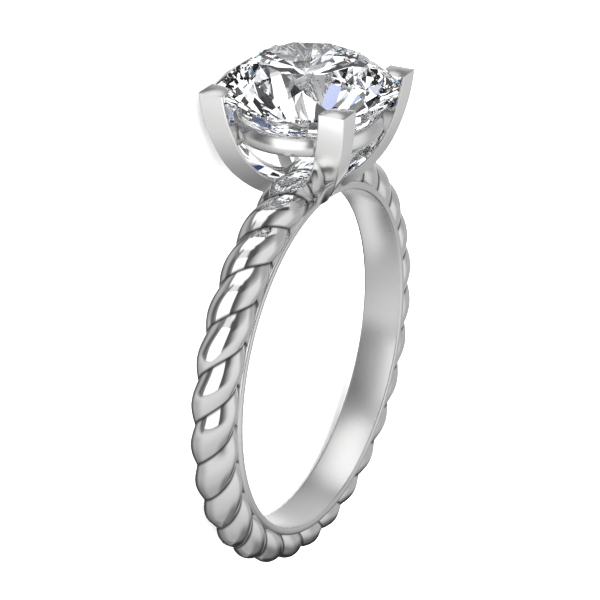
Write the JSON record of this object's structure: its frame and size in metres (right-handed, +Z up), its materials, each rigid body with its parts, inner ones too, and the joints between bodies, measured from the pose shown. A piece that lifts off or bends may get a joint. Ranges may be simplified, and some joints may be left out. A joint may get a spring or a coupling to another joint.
{
  "type": "solitaire engagement ring",
  "caption": "Finger ring with a twisted rope band on a smooth sleeve, square claw posts on crossed rails, and a round brilliant-cut stone.",
  "frame": {"origin": "on the surface that the lying ring rests on, under the middle of its box", "axes": "+Z up from the surface, -Y from the band towards the stone, +X across the band; the finger axis leans 7.8 degrees from +Z towards +Y"},
  "size_m": [0.021, 0.026, 0.0086],
  "materials": {
    "white_gold": "high polish",
    "clear_stone": "brilliant cut, polished facets"
  },
  "bodies": {
    "root": {"ring_mount": "white_gold", "centre_stone": "clear_stone"}
  },
  "joints": []
}
